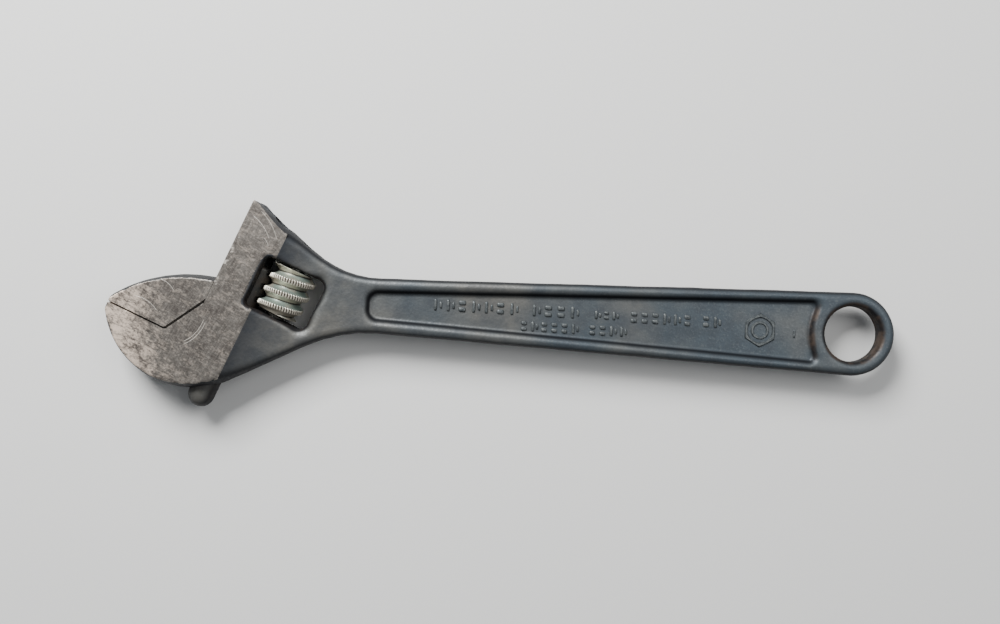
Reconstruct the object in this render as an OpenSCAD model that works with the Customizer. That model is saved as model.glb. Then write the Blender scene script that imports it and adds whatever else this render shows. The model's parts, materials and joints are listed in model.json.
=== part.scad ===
// Adjustable wrench of nominal 12 in size, drawn with its jaws closed.
// Frame: origin at the centre of the hang hole on the parting plane, +X along the handle away from
// the head, +Z out of the face. Head shapes are drawn in the head's own frame, which is turned by
// head_angle: a is the distance from the slide face towards the handle, and b is the distance from
// the gripping plane in the direction in which the jaw opens.

/* [Handle] */
// Outer radius of the eye at the handle's end
eye_r = 16.2; // [14:0.1:18]
// Radius of the hang hole
hole_r = 10.65; // [8:0.05:12]
// Radius of the hang hole's rounded mouth
hole_mouth_r = 12; // [11:0.1:13]
// Height of the hang hole's straight wall
hole_wall = 6; // [4:0.5:8]
// Thickness of the handle over its rails
handle_t = 9.6; // [8:0.1:12]
// Taper of each side of the handle, in degrees
taper = 1.7; // [1:0.1:2.5]
// Distance from the hang hole to the point where the handle's edges meet the head's edges
neck_x = 196.5; // [190:0.5:200]
// Radius of the fillet under the neck
lower_neck_r = 55; // [30:1:60]
// Radius of the fillet over the neck
upper_neck_r = 40; // [25:1:45]

/* [Handle panel] */
// Thickness of the web left between the two sunk panels
panel_web = 5; // [3:0.1:7]
// Distance from the hang hole to the panel's head end
panel_x = 187; // [170:0.5:188]
// Half of the panel's width at its head end
panel_head_w = 6.2; // [5:0.1:7]
// Half of the panel's width at the hang hole
panel_eye_w = 12.7; // [10:0.1:13]
// Radius of the boss that the panel leaves round the hang hole
boss_r = 15.4; // [13:0.1:16]
// Radius of the panel's corners
panel_corner_r = 4.5; // [2:0.5:6]

/* [Head] */
// Angle from the handle to the line square to the slide face, in degrees
head_angle = 22.5; // [15:0.5:22.5]
// Distance from the hang hole to the slide face, square to that face
slide_u = 227.4; // [220:0.1:240]
// Distance from the hang hole to the gripping plane, square to that plane
grip_v = 112.5; // [110:0.1:115]
// Thickness of the head over its ground faces
head_t = 18; // [17.9:0.1:20]
// Height of the head's top corner over the gripping plane
head_top = 59.2; // [58:0.1:62]
// Width of the ground band between the slide face and the forged slope
ground_w = 17.1; // [15:0.1:20]
// Thickness of the head at the top of the forged slope
slope_t = 15; // [13:0.1:16]

/* [Jaws] */
// Length of the jaws from the slide face to their tips
jaw_reach = 33.4; // [30:0.1:36]
// Depth of the throat corner, where the gripping face turns towards the slide face
throat_a = 9; // [7:0.1:11]
// Height at which the throat meets the slide face
throat_b = 15.5; // [14:0.1:18]
// Radius of the fixed jaw's back
fixed_back_r = 33.3; // [32:0.1:35]
// Radius of the movable jaw's back
movable_back_r = 55.6; // [54:0.1:57]
// Gap between the closed jaws
jaw_gap = 0.45; // [0.1:0.05:0.5]
// Running clearance between the movable jaw and the head
slide_gap = 0.08; // [0.05:0.01:0.1]

/* [Rack rod] */
// Distance from the slide face to the rod's axis
rod_a = 12.2; // [12:0.1:12.4]
// Radius of the rod
rod_r = 5; // [4.8:0.05:5.2]
// Lowest point of the rod's round end, under the gripping plane
rod_foot = 22.4; // [20:0.1:24]
// Highest point of the rod over the gripping plane
rod_top = 37; // [34:0.5:40]
// Thickness of the web that joins the jaw to its rod
web_t = 4.8; // [4:0.1:6]

/* [Worm] */
// Distance from the slide face to the worm's axis
worm_a = 24.8; // [24.2:0.1:25]
// Radius over the worm's crests
worm_r = 8.9; // [8.7:0.05:8.9]
// Radius of the worm's core
worm_core_r = 6.2; // [5.8:0.1:6.4]
// Length of the worm
worm_len = 18.2; // [17.6:0.1:18.4]
// Gap under the worm, which its spring crosses
worm_gap = 1.7; // [1:0.1:2.2]
// Advance of the single right-hand thread in one turn
pitch = 5.5; // [5:0.1:5.6]
// Height of the lowest ridge over the worm's foot, on the rack's side, with the jaws closed
thread_start = 1.5; // [0:0.1:5.5]
// Width of the thread at its crest
crest_w = 1.5; // [1:0.1:1.8]
// Width of the thread at the worm's core
root_w = 4.2; // [3.8:0.1:4.5]

/* [Worm window] */
// Distance from the slide face to the window's near edge
window_a = 13.5; // [13:0.1:15]
// Width of the window
window_w = 24.1; // [22:0.1:26]
// Height of the window's lower edge over the gripping plane
window_b = 21.3; // [20:0.1:22]
// Height of the window
window_h = 20.6; // [20.4:0.1:23]

/* [Worm pin and spring] */
// Radius of the pin's shank
pin_r = 2.2; // [1.8:0.05:2.5]
// Radius of the pin's slotted head
pin_head_r = 3; // [2.8:0.1:3.2]
// Depth of the pin's slotted head
pin_head_h = 3; // [2:0.1:3.5]
// Height of the pin's lower end over the gripping plane
pin_foot = 12; // [10:0.5:16]
// Radius of the spring's wire
wire_r = 0.4; // [0.3:0.05:0.5]
// Radius of the spring's coil, to the middle of its wire
coil_r = 3.2; // [3:0.1:3.4]
// Turns in the spring
coil_turns = 5; // [3:1:6]
// Depth of the spring's pocket in the worm
pocket_h = 6; // [4:0.5:8]

/* [Hidden] */
$fn = 64;
past = 1;
shim = 0.05;
reach = 400;
arc_steps = 16;
long_arc_steps = 28;
corner_step_angle = 8;
head_corner_r = 0.4;
jaw_tip_chamfer = 1;
throat_r = 1.5;
slope_run = 1.8;
slope_end = 76;
slope_sink = 0.4;
panel_end_x = 3;
window_near_r = 2;
window_far_r = 3.5;
fixed_mid = [-5.8, 13.3];
movable_mid = [11.6, -28.2];
bore_r = rod_r + slide_gap;
slot_t = web_t + 2 * slide_gap;
pin_hole_r = pin_r + slide_gap / 2;
pin_head_top = 50.6;
driver_slot_w = 0.9;
driver_slot_h = 1.2;
pocket_gap = 0.25;
pocket_r = coil_r + wire_r + pocket_gap;
worm_foot = window_b + worm_gap;
mesh_gap = 0.3;
rack_low = -6;
rack_high = 2;
lead_angle = atan(pitch / (2 * PI * worm_r));
steps_per_turn = 32;
thread_turns = ceil(worm_len / pitch) + 2;
sunk_crest = 0.02;
sunk_root = 0.5;
STEEL_DARK = [0.30, 0.31, 0.31];
STEEL_GROUND = [0.66, 0.64, 0.61];
STEEL_BRIGHT = [0.78, 0.78, 0.74];
STEEL_PIN = [0.5, 0.5, 0.5];

// Paths
function polar(mid, r, t) = mid + r * [cos(t), sin(t)];
function arc(mid, r, from, to, steps = arc_steps) =
    [for (i = [0:steps]) polar(mid, r, from + (to - from) * i / steps)];
function unit(v) = v / norm(v);
// The turn from one heading to another, never over half a turn
function turn(from, to) = (to - from + 900) % 360 - 180;
function heading(v) = atan2(v.y, v.x);
function corner_arc(before, p, after, r) =
    let (
        back = unit(before - p),
        on = unit(after - p),
        half = acos(back * on) / 2,
        mid = p + unit(back + on) * r / sin(half),
        start = heading(p + back * r / tan(half) - mid),
        sweep = turn(start, heading(p + on * r / tan(half) - mid))
    ) arc(mid, r, start, start + sweep, max(3, round(abs(sweep) / corner_step_angle)));
// A closed outline through the points of path, each an [x, y] or an [x, y, corner radius]
function rounded(path) =
    let (n = len(path), flat = [for (p = path) [p.x, p.y]])
    [for (i = [0:n - 1])
        each (len(path[i]) == 2
            ? [flat[i]]
            : corner_arc(flat[(i + n - 1) % n], flat[i], flat[(i + 1) % n], path[i][2]))];

// From the head's frame to the part's frame, for a point
function from_head(p) =
    let (u = p.x - slide_u, v = p.y - grip_v)
    [u * cos(head_angle) + v * sin(head_angle), v * cos(head_angle) - u * sin(head_angle)];
// Half of the handle's width at a distance x along it
function handle_edge(x) = eye_r / cos(taper) + x * tan(taper);

module in_head() {
    rotate([0, 0, -head_angle])
        translate([-slide_u, -grip_v, 0])
            children();
}

// Turns a shape drawn along Z so that it runs along b, from the height b of the axis at a
module along_b(a, b) {
    translate([a, b, 0])
        rotate([-90, 0, 0])
            children();
}

function body_outline() =
    let (
        mid = from_head(fixed_mid),
        lower = [-neck_x, -handle_edge(-neck_x)],
        upper = [-neck_x, handle_edge(-neck_x)],
        tip_turn = acos((-jaw_reach - fixed_mid.x) / fixed_back_r),
        heel_turn = heading(lower - mid) - acos(fixed_back_r / norm(lower - mid)),
        top = from_head([0, head_top]),
        foot = from_head([0, throat_b]),
        throat = from_head([-throat_a, 0])
    )
    rounded(concat(
        arc(mid, fixed_back_r, -tip_turn - head_angle, heel_turn, long_arc_steps),
        [[lower.x, lower.y, lower_neck_r]],
        arc([0, 0], eye_r, -90 - taper, 90 + taper, long_arc_steps),
        [
            [upper.x, upper.y, upper_neck_r],
            [top.x, top.y, head_corner_r],
            foot,
            [throat.x, throat.y, throat_r],
            from_head([jaw_tip_chamfer - jaw_reach, 0]),
            from_head([-jaw_reach, -jaw_tip_chamfer])
        ]
    ));

// The heights of the head and the handle over the parting plane
module thickness() {
    in_head()
        rotate([90, 0, 0])
            linear_extrude(height = reach, center = true)
                polygon([
                    [-slope_end, head_t / 2],
                    [ground_w, head_t / 2],
                    [ground_w + slope_run, slope_t / 2],
                    [slope_end, handle_t / 2 - slope_sink],
                    [slope_end, slope_sink - handle_t / 2],
                    [ground_w + slope_run, -slope_t / 2],
                    [ground_w, -head_t / 2],
                    [-slope_end, -head_t / 2]
                ]);
    translate([-neck_x, -neck_x, -handle_t / 2])
        cube([neck_x + eye_r + past, 2 * neck_x, handle_t]);
}

module panel() {
    difference() {
        linear_extrude(height = head_t)
            polygon(rounded([
                [-panel_x, -panel_head_w, panel_corner_r],
                [panel_end_x - boss_r, -panel_eye_w],
                [panel_end_x - boss_r, panel_eye_w],
                [-panel_x, panel_head_w, panel_corner_r]
            ]));
        cylinder(r = boss_r, h = 3 * head_t, center = true);
    }
}

module panels() {
    for (side = [0, 1])
        mirror([0, 0, side])
            translate([0, 0, panel_web / 2])
                panel();
}

module hang_hole() {
    mouth_h = hole_mouth_r - hole_r;
    cylinder(r = hole_r, h = reach, center = true);
    for (side = [0, 1])
        mirror([0, 0, side])
            translate([0, 0, hole_wall / 2])
                cylinder(r1 = hole_r, r2 = hole_r + 3 * mouth_h, h = 3 * (handle_t - hole_wall) / 2);
}

module worm_window() {
    far_a = window_a + window_w;
    top_b = window_b + window_h;
    linear_extrude(height = 2 * head_t, center = true)
        polygon(rounded([
            [window_a, window_b, window_near_r],
            [far_a, window_b, window_far_r],
            [far_a, top_b, window_far_r],
            [window_a, top_b, window_near_r]
        ]));
}

module rod_way() {
    along_b(rod_a, -rod_foot)
        cylinder(r = bore_r, h = rod_foot + head_top + past);
    translate([-past, throat_b + jaw_gap / 2, -slot_t / 2])
        cube([rod_a + past, head_top, slot_t]);
}

module pin_way() {
    along_b(worm_a, pin_foot - shim)
        cylinder(r = pin_hole_r, h = head_top);
    along_b(worm_a, pin_head_top - pin_head_h - shim)
        cylinder(r = pin_head_r + shim, h = head_top);
}

module body() {
    color(STEEL_DARK)
        difference() {
            intersection() {
                linear_extrude(height = head_t, center = true)
                    polygon(body_outline());
                thickness();
            }
            panels();
            hang_hole();
            in_head() {
                worm_window();
                rod_way();
                pin_way();
            }
        }
}

function movable_outline() =
    let (
        throat_lean = throat_b / throat_a,
        tip_turn = acos((-jaw_reach - movable_mid.x) / movable_back_r),
        heel_turn = acos((-slide_gap - movable_mid.x) / movable_back_r),
        throat_rise = jaw_gap * (1 + throat_lean)
    )
    rounded(concat(
        arc(movable_mid, movable_back_r, heel_turn, tip_turn),
        [
            [-jaw_reach, jaw_gap + jaw_tip_chamfer],
            [jaw_tip_chamfer - jaw_reach, jaw_gap],
            [-throat_a - jaw_gap, jaw_gap, throat_r],
            [-slide_gap, throat_b + throat_rise - jaw_gap]
        ]
    ));

module rack_rod() {
    tip_a = worm_a - worm_core_r;
    floor_a = worm_a - worm_r - mesh_gap;
    thread_lean = (root_w - crest_w) / 2 / (worm_r - worm_core_r);
    floor_half = crest_w / 2 + mesh_gap / 2;
    mouth_half = floor_half + (tip_a - floor_a + past) * thread_lean;
    first_gap = worm_foot + thread_start;
    difference() {
        union() {
            along_b(rod_a, rod_r - rod_foot)
                cylinder(r = rod_r, h = rod_top + rod_foot - rod_r);
            translate([rod_a, rod_r - rod_foot, 0])
                sphere(r = rod_r);
        }
        for (k = [rack_low:rack_high])
            translate([0, first_gap + k * pitch, 0])
                rotate([lead_angle, 0, 0])
                    linear_extrude(height = 4 * rod_r, center = true)
                        polygon([
                            [floor_a, -floor_half],
                            [tip_a + past, -mouth_half],
                            [tip_a + past, mouth_half],
                            [floor_a, floor_half]
                        ]);
    }
}

module movable_jaw() {
    web_foot = throat_b + jaw_gap;
    web_top = movable_mid.y + sqrt(movable_back_r ^ 2 - movable_mid.x ^ 2) - past;
    color(STEEL_GROUND)
        in_head() {
            linear_extrude(height = head_t, center = true)
                polygon(movable_outline());
            translate([-2 * past, web_foot, -web_t / 2])
                cube([rod_a - rod_r / 2 + 2 * past, web_top - web_foot, web_t]);
            rack_rod();
        }
}

// One ring of four points for each step along the thread: two at the core and two at the crest
function thread_points(inner_r) =
    [for (i = [0:steps_per_turn * thread_turns])
        let (
            t = 360 * i / steps_per_turn,
            z = thread_start + (t / 360 - 1.5) * pitch
        )
        for (q = [[inner_r, root_w], [worm_r, crest_w], [worm_r, -crest_w], [inner_r, -root_w]])
            [q.x * cos(t), q.x * sin(t), z + q.y / 2]];

// The faces of a solid swept through rings of n points each
function sweep_faces(rings, n) = concat(
    [[for (j = [0:n - 1]) j]],
    [[for (j = [n - 1:-1:0]) (rings - 1) * n + j]],
    [for (i = [0:rings - 2], j = [0:n - 1])
        let (p = i * n + j, q = i * n + (j + 1) % n)
        each [[p, p + n, q + n], [p, q + n, q]]]
);

module worm_thread() {
    intersection() {
        polyhedron(
            points = thread_points(worm_core_r - sunk_root),
            faces = sweep_faces(steps_per_turn * thread_turns + 1, 4)
        );
        cylinder(r = worm_r - sunk_crest, h = worm_len);
    }
}

module worm() {
    color(STEEL_BRIGHT)
        in_head()
            along_b(worm_a, worm_foot)
                difference() {
                    union() {
                        cylinder(r = worm_core_r, h = worm_len);
                        worm_thread();
                    }
                    translate([0, 0, -past])
                        cylinder(r = pin_r + slide_gap, h = worm_len + 2 * past);
                    translate([0, 0, -past])
                        cylinder(r = pocket_r, h = pocket_h + past);
                }
}

module worm_pin() {
    color(STEEL_PIN)
        in_head()
            along_b(worm_a, pin_foot)
                difference() {
                    union() {
                        cylinder(r = pin_r, h = pin_head_top - pin_foot);
                        translate([0, 0, pin_head_top - pin_foot - pin_head_h])
                            cylinder(r = pin_head_r, h = pin_head_h);
                    }
                    translate([-2 * pin_head_r, -driver_slot_w / 2, pin_head_top - pin_foot - driver_slot_h])
                        cube([4 * pin_head_r, driver_slot_w, head_t]);
                }
}

module worm_spring() {
    sides = 6;
    steps = arc_steps * coil_turns;
    foot = window_b + wire_r + shim;
    rise = worm_foot + pocket_h - wire_r - shim - foot;
    color(STEEL_PIN)
        in_head()
            along_b(worm_a, foot)
                polyhedron(
                    points = [for (i = [0:steps], j = [0:sides - 1])
                        let (
                            t = 360 * i * coil_turns / steps,
                            w = -360 * j / sides,
                            r = coil_r + wire_r * cos(w)
                        )
                        [r * cos(t), r * sin(t), rise * i / steps + wire_r * sin(w)]],
                    faces = sweep_faces(steps + 1, sides)
                );
}

body();
movable_jaw();
worm();
worm_pin();
worm_spring();
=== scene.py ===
import json
import math

import bpy
import numpy as np
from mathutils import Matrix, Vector


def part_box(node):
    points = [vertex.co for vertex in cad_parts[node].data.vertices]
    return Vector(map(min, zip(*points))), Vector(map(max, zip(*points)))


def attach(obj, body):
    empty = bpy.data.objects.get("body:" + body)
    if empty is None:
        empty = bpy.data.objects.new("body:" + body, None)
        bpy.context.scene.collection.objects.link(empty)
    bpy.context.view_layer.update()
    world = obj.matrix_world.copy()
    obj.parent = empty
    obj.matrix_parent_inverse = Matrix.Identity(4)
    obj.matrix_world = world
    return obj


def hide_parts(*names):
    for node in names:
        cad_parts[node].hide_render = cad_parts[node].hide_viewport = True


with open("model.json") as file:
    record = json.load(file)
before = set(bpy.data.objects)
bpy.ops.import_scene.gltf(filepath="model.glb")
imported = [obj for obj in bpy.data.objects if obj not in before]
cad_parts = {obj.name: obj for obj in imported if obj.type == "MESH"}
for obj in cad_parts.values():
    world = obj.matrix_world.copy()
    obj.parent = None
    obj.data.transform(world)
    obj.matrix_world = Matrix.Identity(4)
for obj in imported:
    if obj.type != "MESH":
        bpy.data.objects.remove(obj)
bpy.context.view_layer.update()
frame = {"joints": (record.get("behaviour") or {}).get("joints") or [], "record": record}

MM = 0.001

joints = {j["name"]: j for j in frame["joints"]}
mounts = {m["name"]: m for m in frame["record"]["mounts"]}
open_x, open_y, _ = joints["jaw_slide"]["axis"]
pitch = 2 * math.pi / abs(frame["record"]["behaviour"]["couplings"][0]["ratio"]) / MM
hole_r = mounts["hang_hole"]["dims"]["r_mm"]
head_half = -mounts["rest_face"]["pos_m"][2] / MM

# Handle, in millimetres from the hang hole
eye_r = 16.2
taper = math.radians(1.7)
handle_half = 4.8
neck_x = 196.5
lower_neck_r = 55
upper_neck_r = 40
panel_floor = 2.5
panel_x = 187
panel_head_w = 6.2
panel_eye_w = 12.7
panel_end = 12.4
boss_r = 15.0

# Head, on its own axes
slide_u = 227.4
grip_v = 112.5
head_top = 59.2
ground_w = 17.1
jaw_reach = 33.4
throat_a = 9
throat_b = 15.5
fixed_mid, fixed_back_r = (-5.8, 13.3), 33.3
movable_mid, movable_back_r = (11.6, -28.2), 55.6
jaw_gap = 0.45
slide_gap = 0.08

# Rod, worm, window, pin and spring
rod_a = 12.2
rod_r = 5.0
rod_foot = 22.4
rod_top = 37
web_half = 2.4
worm_a = 24.8
worm_r = 8.9
core_r = 6.2
crest_w = 1.5
root_w = 4.2
thread_start = 1.5
thread_lean = (root_w - crest_w) / 2 / (worm_r - core_r)
knurls = 50
knurl_depth = 0.45
knurl_lean = 0.004
window_a = (13.5, 37.6)
window_b = (21.3, 41.9)
worm_b = (window_b[0] + 1.7, window_b[0] + 19.9)
rack_gaps = (-6, 2)
pin_r = 2.2
pin_head_r = 3
pin_b = (12, 50.6)
pin_head_h = 3
pin_dome = 0.06
pin_slot_half = 0.45
pin_slot_h = 1.3
screw_pitch = 0.8
screw_depth = 0.16
spring_pocket_r = 3.85
spring_pocket_h = 6

# Margins that keep the finer, uneven surfaces inside the exact sizes, and the small gaps
side_margin = 0.12
face_margin = 0.06
tip_margin = 0.1
top_margin = 0.5
seen_gap = jaw_gap + 0.15
ledge_gap = 0.12
ledge_depth = 1.5
slot_foot = throat_b + 0.15
web_foot = throat_b + 0.8
web_top = 24.6
web_back = -3
small_gap = 0.05
shank_gap = 0.04
top_end = 12
tip_lean = 0.004
fixed_draft = 0.024
movable_draft = 0.02
rack_clear = 0.3
head_corner_r = 0.4
opening_corner_r = 1.5
outside = 90

# How far a surface may lie from the ground shapes and still count as ground
near_face = 0.12
near_edge = 0.7
near_fit = 0.25


# ---------------------------------------------------------------- outlines

def polar(mid, r, turn):
    """The point at distance r from mid, in the direction of turn."""
    return mid[0] + r * math.cos(turn), mid[1] + r * math.sin(turn)


def arc(mid, r, start, end, steps=24):
    """Points along an arc about mid, both ends included."""
    return [polar(mid, r, start + (end - start) * i / steps) for i in range(steps + 1)]


def rounded(corners):
    """The closed outline through [x, y, r] corners, each rounded with its radius r."""
    path = []
    for i, (x, y, r) in enumerate(corners):
        p = np.array((x, y), float)
        if not r:
            path.append(tuple(p))
            continue
        back = np.array(corners[i - 1][:2], float) - p
        on = np.array(corners[(i + 1) % len(corners)][:2], float) - p
        back /= np.linalg.norm(back)
        on /= np.linalg.norm(on)
        half = math.acos(back @ on) / 2
        middle = (back + on) / np.linalg.norm(back + on)
        mid = p + middle * r / math.sin(half)
        start, end = (p + side * r / math.tan(half) - mid for side in (back, on))
        first = math.atan2(start[1], start[0])
        sweep = (math.atan2(end[1], end[0]) - first + math.pi) % math.tau - math.pi
        path += arc(mid, r, first, first + sweep, max(3, round(abs(sweep) / 0.12)))
    return path


def plain(points):
    """The points as corners that stay unrounded."""
    return [(x, y, 0) for x, y in points]


def from_head(a, b):
    """A point on the head's axes as x and y."""
    u, v = a - slide_u, b - grip_v
    return u * open_y + v * open_x, v * open_y - u * open_x


def to_head(x, y):
    """A point at x and y on the head's axes."""
    return x * open_y - y * open_x + slide_u, x * open_x + y * open_y + grip_v


def handle_edge(x):
    """Half of the handle's width at x."""
    return eye_r / math.cos(taper) + x * math.tan(taper)


def forging_path():
    """Outline of the forging on its parting plane, closed across the jaw opening."""
    mid = from_head(*fixed_mid)
    corner = (-neck_x, -handle_edge(-neck_x))
    reach = (corner[0] - mid[0], corner[1] - mid[1])
    heel = math.atan2(reach[1], reach[0]) - math.acos(fixed_back_r / math.hypot(*reach))
    return rounded(
        plain(arc(mid, fixed_back_r, math.radians(-200), heel, 48))
        + [(*corner, lower_neck_r)]
        + plain(arc((0, 0), eye_r, -math.pi / 2 - taper, math.pi / 2 + taper, 40))
        + [(corner[0], -corner[1], upper_neck_r), (*from_head(0, head_top), head_corner_r)]
        + plain([from_head(-30, head_top + 8)])
    )


def opening_path(side_gap, face_gap):
    """Outline of the space over the gripping face and beside the slide face, on a and b."""
    rise = throat_b / throat_a
    return rounded([
        (-side_gap, outside, 0),
        (-side_gap, throat_b + face_gap * (1 + rise), 0),
        (-throat_a - face_gap, face_gap, opening_corner_r),
        (-outside, face_gap, 0),
        (-outside, outside, 0),
    ])


PANEL = rounded([
    (-panel_x, -panel_head_w, 5),
    (-panel_end, -panel_eye_w, 4),
    (-panel_end, panel_eye_w, 4),
    (-panel_x, panel_head_w, 5),
])
WINDOW = rounded([
    (window_a[0], window_b[0], 2),
    (window_a[1], window_b[0], 3.5),
    (window_a[1], window_b[1], 3.5),
    (window_a[0], window_b[1], 2),
])
FORGING = forging_path()
OPENING = opening_path(0, 0)
JAW_SPACE = opening_path(slide_gap, seen_gap)
LEDGE_SPACE = opening_path(slide_gap, ledge_gap)


# ---------------------------------------------------------------- field maths

def outline_distance(path, x, y):
    """Distance from a closed outline, negative inside it."""
    near = np.full(np.broadcast(x, y).shape, np.inf)
    inside = np.zeros(near.shape, bool)
    for (x0, y0), (x1, y1) in zip(path, path[1:] + path[:1]):
        ex, ey = x1 - x0, y1 - y0
        wx, wy = x - x0, y - y0
        t = np.clip((wx * ex + wy * ey) / (ex * ex + ey * ey), 0, 1)
        near = np.minimum(near, (wx - t * ex) ** 2 + (wy - t * ey) ** 2)
        if ey:
            inside ^= ((y0 > y) != (y1 > y)) & (wx < ex * wy / ey)
    return np.where(inside, -1, 1) * np.sqrt(near)


def join(one, other, r):
    """Union of two fields with a fillet of about r."""
    share = np.clip(0.5 + 0.5 * (other - one) / r, 0, 1)
    return other * (1 - share) + one * share - r * share * (1 - share)


def meet(one, other, r):
    """Intersection of two fields with the edge rounded by about r."""
    return -join(-one, -other, r)


def cut(steel, tool, r):
    """What is left of the steel outside the tool, with the edge rounded by about r."""
    return meet(steel, -tool, r)


def ramp(low, high, value):
    """A smooth step from 0 at low to 1 at high, which may lie either way round."""
    t = np.clip((value - low) / (high - low), 0, 1)
    return t * t * (3 - 2 * t)


def ripples(seed, wavelength, x, y, z, waves=9):
    """Smooth unevenness between about -1 and 1, the same on every run."""
    rng = np.random.default_rng(seed)
    total = 0
    for _ in range(waves):
        way = rng.normal(size=3)
        way *= math.tau / wavelength / np.linalg.norm(way) * rng.uniform(0.6, 1.6)
        total = total + np.sin(way[0] * x + way[1] * y + way[2] * z + rng.uniform(0, math.tau))
    return total / math.sqrt(waves)


# ---------------------------------------------------------------- the steel pieces as fields

def head_height(a):
    """Half of the head's thickness: ground flat, then the forged slope down to the handle."""
    past = np.maximum(a - ground_w, 0)
    forged = handle_half + 2.6 * np.exp(-past / 6) + 1.6 * np.exp(-past / 20)
    return np.where(a < ground_w, head_half, forged)


def tip_face(a, high):
    """The face at both jaws' tips, which leans in a little towards the outer faces."""
    return -a - jaw_reach + tip_margin + tip_lean * high ** 2


def rod_bore(a, b, z):
    """The bore in which the jaw's rod slides, and the slot for its web."""
    bore = np.hypot(a - rod_a, z) - rod_r - slide_gap
    slot = np.maximum(np.abs(z) - web_half - slide_gap, np.maximum(slot_foot - b, a - rod_a))
    return np.minimum(bore, slot)


def pin_way(a, b, z):
    """The hole for the pin's shank, and the counterbore for its head."""
    from_axis = np.hypot(a - worm_a, z)
    shank = np.maximum(from_axis - pin_r - shank_gap, pin_b[0] - small_gap - b)
    mouth = np.maximum(from_axis - pin_head_r - small_gap, pin_b[1] - pin_head_h - small_gap - b)
    return np.minimum(shank, mouth)


def body_field(x, y, z):
    """The forging: handle, panels, hang hole, head, fixed jaw, window, bore, slot and pin hole."""
    a, b = to_head(x, y)
    high = np.abs(z)
    uneven = ripples(3, 26, x, y, z) * 0.07 + ripples(4, 7, x, y, z) * 0.025
    ground = a < ground_w
    draft = fixed_draft * (1 - ramp(38, 48, b) * (1 - ramp(0, 13, a)))
    side = outline_distance(FORGING, x, y) + side_margin + draft * high ** 2 + uneven
    roof = high - head_height(a) + face_margin - np.where(ground, 0, uneven * 0.8)
    worn = 0.3 + 0.3 * ripples(8, 5, x, y, z)
    steel = meet(side, roof, np.where(ground, np.clip(worn, 0.1, 0.9), 2.6))

    boss = boss_r - np.hypot(x, y)
    panel = meet(outline_distance(PANEL, x, y), boss, 4)
    sunk = meet(panel + 0.7 * (handle_half - high), panel_floor + 0.4 * uneven - high, 0.8)
    steel = cut(steel, sunk, 1.5)
    steel = cut(steel, np.hypot(x, y) - hole_r, 2.8)

    rim = 1.9 + 2.3 * ramp(29, 37, a) + 0.3 * ripples(9, 6, x, y, z)
    steel = cut(steel, outline_distance(WINDOW, a, b) + 0 * z, rim)
    nicked = 0.1 + 0.5 * np.clip(ripples(5, 1.9, x, y, z) - 0.8, 0, 1) * ramp(19, 24, b)
    steel = cut(steel, outline_distance(OPENING, a, b) + 0 * z, nicked)
    steel = meet(steel, tip_face(a, high), 0.6)
    steel = meet(steel, np.minimum(b - head_top + top_margin, top_end - a), 0.3)
    steel = cut(steel, rod_bore(a, b, z), 0.25)
    return cut(steel, pin_way(a, b, z), 0.2)


def rack_field(a, b, z):
    """The gaps between the rack's teeth, which lean with the worm's thread."""
    lead = pitch / (math.tau * worm_r)
    bottom = worm_a - worm_r - rack_clear
    first = worm_b[0] + thread_start
    along = (b - first - z * lead) / pitch
    nearest = np.clip(np.round(along), *rack_gaps)
    off = np.abs(along - nearest) * pitch
    return np.maximum(off - crest_w / 2 - rack_clear / 2 - (a - bottom) * thread_lean, bottom - a)


def jaw_field(x, y, z):
    """The movable jaw with its web and its rod. A ledge inside closes most of the gap seen above it."""
    a, b = to_head(x, y)
    high = np.abs(z)
    uneven = ripples(13, 24, x, y, z) * 0.08 + ripples(14, 7, x, y, z) * 0.03
    back = np.hypot(a - movable_mid[0], b - movable_mid[1]) - movable_back_r
    back = back + tip_margin + movable_draft * high ** 2 + uneven
    ledge = np.maximum(outline_distance(LEDGE_SPACE, a, b), high - head_half + ledge_depth)
    space = np.minimum(outline_distance(JAW_SPACE, a, b), ledge)
    worn = np.clip(0.25 + 0.3 * ripples(15, 4, x, y, z), 0.1, 0.8)
    jaw = meet(back, space, 0.1)
    jaw = meet(jaw, tip_face(a, high), 0.3)
    jaw = meet(jaw, high - head_half + face_margin, worn * ramp(0.4, 2.4, -space) + 0.08)

    web = np.maximum(high - web_half, np.maximum(a - rod_a, web_back - a))
    web = np.maximum(web, np.maximum(web_foot - b, b - web_top))
    foot = b + rod_foot - rod_r
    rod = np.hypot(np.hypot(a - rod_a, z), np.minimum(foot, 0)) - rod_r
    rod = meet(rod, b - rod_top, 0.8)
    rod = cut(rod, rack_field(a, b, z), 0.3)
    return join(join(jaw, rod, 0.01), web, 0.6)


def worm_axes(x, y, z):
    """Distance from the worm's axis, turn round it in whole turns, and height along it."""
    a, b = to_head(x, y)
    return np.hypot(a - worm_a, z), np.arctan2(-z, a - worm_a) / math.tau, b


def worm_field(x, y, z):
    """The worm: a knurled thread on its core, with the pin's bore and the spring's pocket."""
    from_axis, turn, b = worm_axes(x, y, z)
    off = (b - worm_b[0] - thread_start) / pitch - turn + 0.5
    off = np.abs(off - np.round(off)) * pitch
    flank = off - crest_w / 2 - (worm_r - from_axis) * thread_lean
    flank = flank * math.cos(math.atan(thread_lean))
    notch = knurl_depth * np.abs(np.cos(math.pi * knurls * (turn + knurl_lean * b))) ** 4
    crest = from_axis - worm_r + 0.02 + notch
    thread = meet(flank, crest, 0.28)
    worm = join(thread, from_axis - core_r, 1.8)
    middle, half = sum(worm_b) / 2, (worm_b[1] - worm_b[0]) / 2
    worm = meet(worm, np.abs(b - middle) - half, 0.3)
    worm = cut(worm, from_axis - pin_r - slide_gap, 0.3)
    pocket = np.maximum(from_axis - spring_pocket_r, b - worm_b[0] - spring_pocket_h)
    return cut(worm, pocket, 0.3)


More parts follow.
